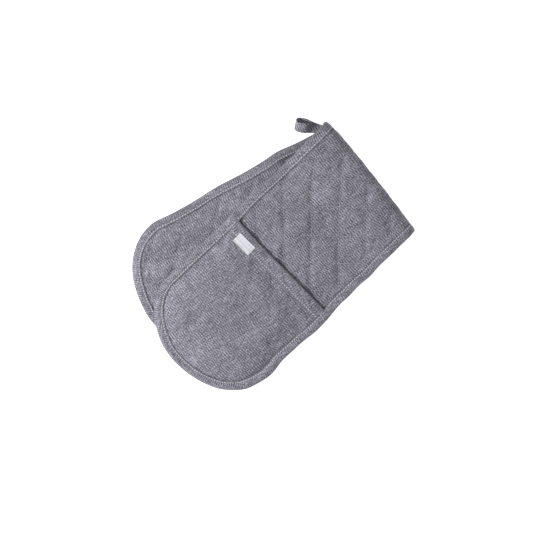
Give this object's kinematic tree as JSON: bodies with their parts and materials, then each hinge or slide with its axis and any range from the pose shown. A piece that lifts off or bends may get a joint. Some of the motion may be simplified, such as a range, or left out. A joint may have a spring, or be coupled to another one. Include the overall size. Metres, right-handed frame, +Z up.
{
  "type": "double oven glove",
  "caption": "Long quilted fabric strip with a hand pocket on each rounded end, folded in half and lying flat, with a hanging loop at the fold.",
  "frame": {"origin": "centre of the underside of the bounding box, on the table", "axes": "+Y along the glove towards the fold, +X across it along the fold line, +Z up off the table"},
  "size_m": [0.2448, 0.3482, 0.0341],
  "materials": {
    "base_cloth": "matt woven melange, quilted",
    "pocket_cloth": "matt woven melange",
    "lining_cloth": "matt plain weave",
    "binding_cloth": "matt bias-cut melange",
    "hem_cloth": "matt melange, turned hem",
    "loop_tape": "matt melange tape",
    "wadding": "soft fibre wadding",
    "thread": "matt sewing thread",
    "label_tape": "satin woven tape",
    "label_thread": "matt sewing thread"
  },
  "bodies": {
    "back_half": {"back_base_pocket_side_fabric": "base_cloth", "back_base_wadding": "wadding", "back_base_plain_side_fabric": "base_cloth", "back_edge_binding": "binding_cloth", "back_edge_stitching": "thread", "back_pocket_sewn_margin": "wadding", "loop_bar_tack": "thread"},
    "fold_band": {"fold_outer_fabric": "base_cloth", "fold_wadding": "wadding", "fold_inner_fabric": "base_cloth", "fold_edge_binding": "binding_cloth", "fold_edge_stitching": "thread"},
    "front_half": {"front_base_pocket_side_fabric": "base_cloth", "front_base_wadding": "wadding", "front_base_plain_side_fabric": "base_cloth", "front_edge_binding": "binding_cloth", "front_edge_stitching": "thread", "front_pocket_sewn_margin": "wadding"},
    "front_pocket": {"front_pocket_outer_fabric": "pocket_cloth", "front_pocket_wadding": "wadding", "front_pocket_lining": "lining_cloth", "front_pocket_hem": "hem_cloth", "front_hem_stitching": "thread", "label": "label_tape", "label_stitching": "label_thread"},
    "back_pocket": {"back_pocket_outer_fabric": "pocket_cloth", "back_pocket_wadding": "wadding", "back_pocket_lining": "lining_cloth", "back_pocket_hem": "hem_cloth", "back_hem_stitching": "thread"},
    "hanging_loop": {"hanging_loop": "loop_tape"}
  },
  "joints": [
    {"name": "fold_lower_bend", "type": "hinge", "parent": "back_half", "child": "fold_band", "pos_m": [-0.00044, 0.168, 0.00613], "axis": [-1, 0, 0], "range_deg": [0, 90], "deforming": ["fold_outer_fabric", "fold_wadding", "fold_inner_fabric", "fold_edge_binding", "fold_edge_stitching"]},
    {"name": "fold_upper_bend", "type": "hinge", "parent": "fold_band", "child": "front_half", "pos_m": [-0.00044, 0.168, 0.02717], "axis": [-1, 0, 0], "range_deg": [0, 90], "deforming": ["fold_outer_fabric", "fold_wadding", "fold_inner_fabric", "fold_edge_binding", "fold_edge_stitching"]},
    {"name": "front_pocket_mouth", "type": "hinge", "parent": "front_half", "child": "front_pocket", "pos_m": [0.04027, -0.16032, 0.0283], "axis": [0.9919, 0.1271, 0], "range_deg": [0, 10]},
    {"name": "back_pocket_mouth", "type": "hinge", "parent": "back_half", "child": "back_pocket", "pos_m": [-0.04027, -0.15338, 0.005], "axis": [-0.9919, 0.1271, 0], "range_deg": [0, 10]},
    {"name": "loop_swing", "type": "hinge", "parent": "back_half", "child": "hanging_loop", "pos_m": [-0.09783, 0.14656, 0.0094], "axis": [0, 0, 1], "range_deg": [-75, 12]}
  ],
  "couplings": [
    {"joint": "fold_upper_bend", "follows": "fold_lower_bend", "ratio": 1}
  ]
}
